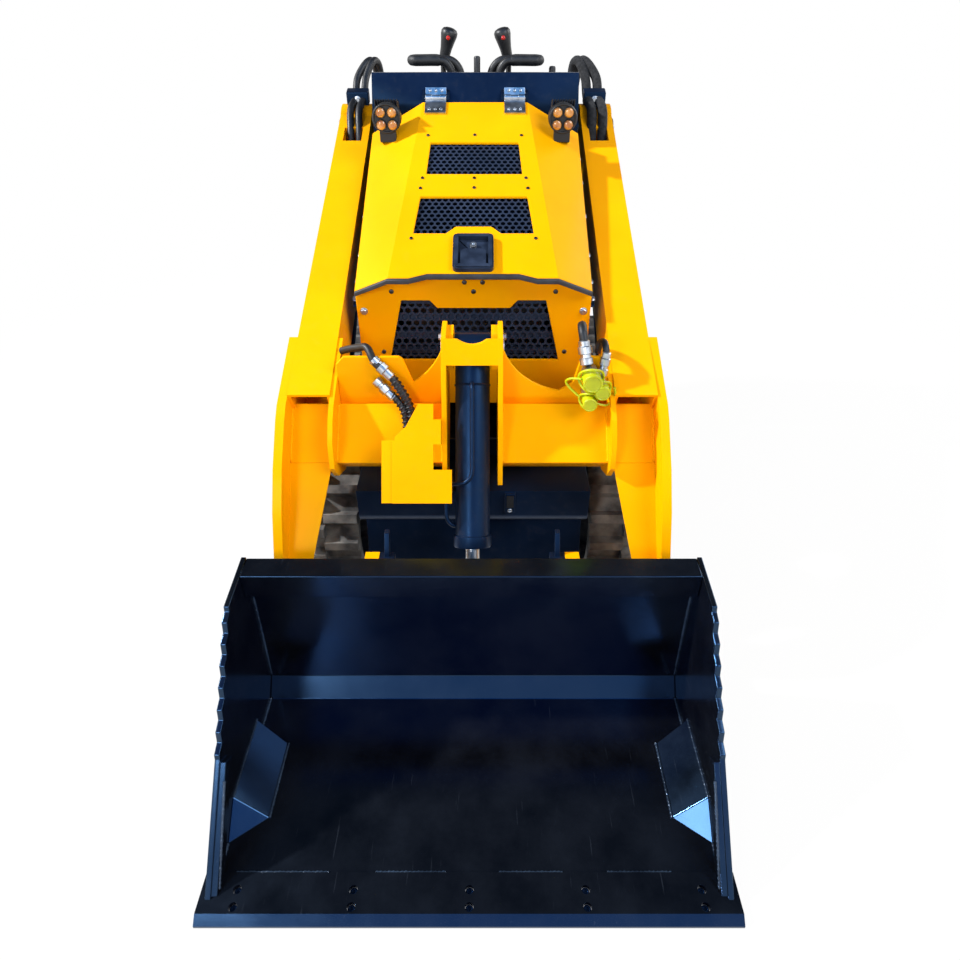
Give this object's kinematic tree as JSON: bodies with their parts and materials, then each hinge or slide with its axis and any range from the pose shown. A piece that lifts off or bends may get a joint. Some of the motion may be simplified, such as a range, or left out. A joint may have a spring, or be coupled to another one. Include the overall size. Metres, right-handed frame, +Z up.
{
  "type": "compact track loader",
  "caption": "Stand-on rubber-tracked loader with lift arms, tilting bucket, hydraulic cylinders, opening hood and rear operator platform.",
  "frame": {"origin": "on the ground under the middle of the machine's length and width", "axes": "-Y is the way the machine faces, towards the bucket; +X is on the right seen from the front; +Z is up"},
  "size_m": [1.08, 2.42, 1.4093],
  "materials": {
    "yellow_paint": "gloss",
    "black_paint": "gloss",
    "zinc_steel": "satin",
    "chrome_rod": "polished",
    "track_rubber": "matte",
    "rubber_trim": "matte",
    "black_plastic": "satin",
    "cap_plastic": "gloss",
    "engine_metal": "satin"
  },
  "bodies": {
    "chassis": {"frame": "black_paint", "towers": "black_paint", "pivot_pins": "zinc_steel", "hydraulic_tank": "black_paint", "front_panel": "yellow_paint", "front_grille": "black_paint", "side_panels": "black_paint", "engine_block": "engine_metal", "console": "black_paint", "handlebars": "black_plastic", "joysticks": "black_plastic", "thigh_pad": "rubber_trim", "platform": "black_paint", "track_left": "track_rubber", "track_right": "track_rubber", "track_frames": "black_paint", "idlers": "black_paint", "sprockets": "black_paint", "rollers": "black_paint"},
    "lift_arms": {"arm_left": "yellow_paint", "arm_right": "yellow_paint", "leg_left": "yellow_paint", "leg_right": "yellow_paint", "cross_beam": "yellow_paint", "tilt_bracket": "yellow_paint", "bulkhead_plates": "yellow_paint", "hose_guard": "yellow_paint", "couplers": "zinc_steel", "coupler_caps": "cap_plastic", "tool_pins": "zinc_steel"},
    "tool": {"cutting_edge": "black_paint", "bucket_shell": "black_paint", "bucket_side_left": "black_paint", "bucket_side_right": "black_paint", "bucket_gussets": "black_paint", "quick_attach": "black_paint", "lock_levers": "zinc_steel"},
    "tilt_barrel": {"tilt_barrel": "black_paint"},
    "tilt_rod": {"tilt_rod": "chrome_rod"},
    "lift_barrels": {"lift_barrels": "black_paint"},
    "lift_rods": {"lift_rods": "chrome_rod"},
    "hood": {"hood_panel": "yellow_paint", "hood_grilles": "black_paint", "hood_latch": "black_plastic", "hood_trim": "rubber_trim", "hood_hinges": "zinc_steel", "work_lamps": "black_plastic"}
  },
  "joints": [
    {"name": "arm_lift", "type": "hinge", "parent": "chassis", "child": "lift_arms", "pos_m": [0, 0.77, 1.098], "axis": [-1, 0, 0], "range_deg": [0, 68]},
    {"name": "bucket_tilt", "type": "hinge", "parent": "lift_arms", "child": "tool", "pos_m": [0, -0.554, 0.165], "axis": [1, 0, 0], "range_deg": [-12, 100]},
    {"name": "hood_open", "type": "hinge", "parent": "chassis", "child": "hood", "pos_m": [0, 0.547, 1.226], "axis": [-1, 0, 0], "range_deg": [0, 55]},
    {"name": "lift_barrel_swing", "type": "hinge", "parent": "chassis", "child": "lift_barrels", "pos_m": [0, -0.01, 0.52], "axis": [1, 0, 0], "range_deg": [0, 27.55]},
    {"name": "lift_rod_slide", "type": "slide", "parent": "lift_barrels", "child": "lift_rods", "axis": [0, 0.836, 0.5487], "range_m": [0, 0.29447]},
    {"name": "tilt_barrel_swing", "type": "hinge", "parent": "lift_arms", "child": "tilt_barrel", "pos_m": [0, -0.26, 0.785], "axis": [1, 0, 0], "range_deg": [-0.16, 0.95]},
    {"name": "tilt_rod_slide", "type": "slide", "parent": "tilt_barrel", "child": "tilt_rod", "axis": [0, -0.5563, -0.831], "range_m": [-0.02749, 0.22542]}
  ],
  "couplings": [
    {"joint": "lift_barrel_swing", "follows": "arm_lift", "ratio": 0.40449},
    {"joint": "lift_rod_slide", "follows": "arm_lift", "m_per_rad": 0.24769},
    {"joint": "tilt_barrel_swing", "follows": "bucket_tilt", "ratio": 0.00904},
    {"joint": "tilt_rod_slide", "follows": "bucket_tilt", "m_per_rad": 0.12887}
  ]
}
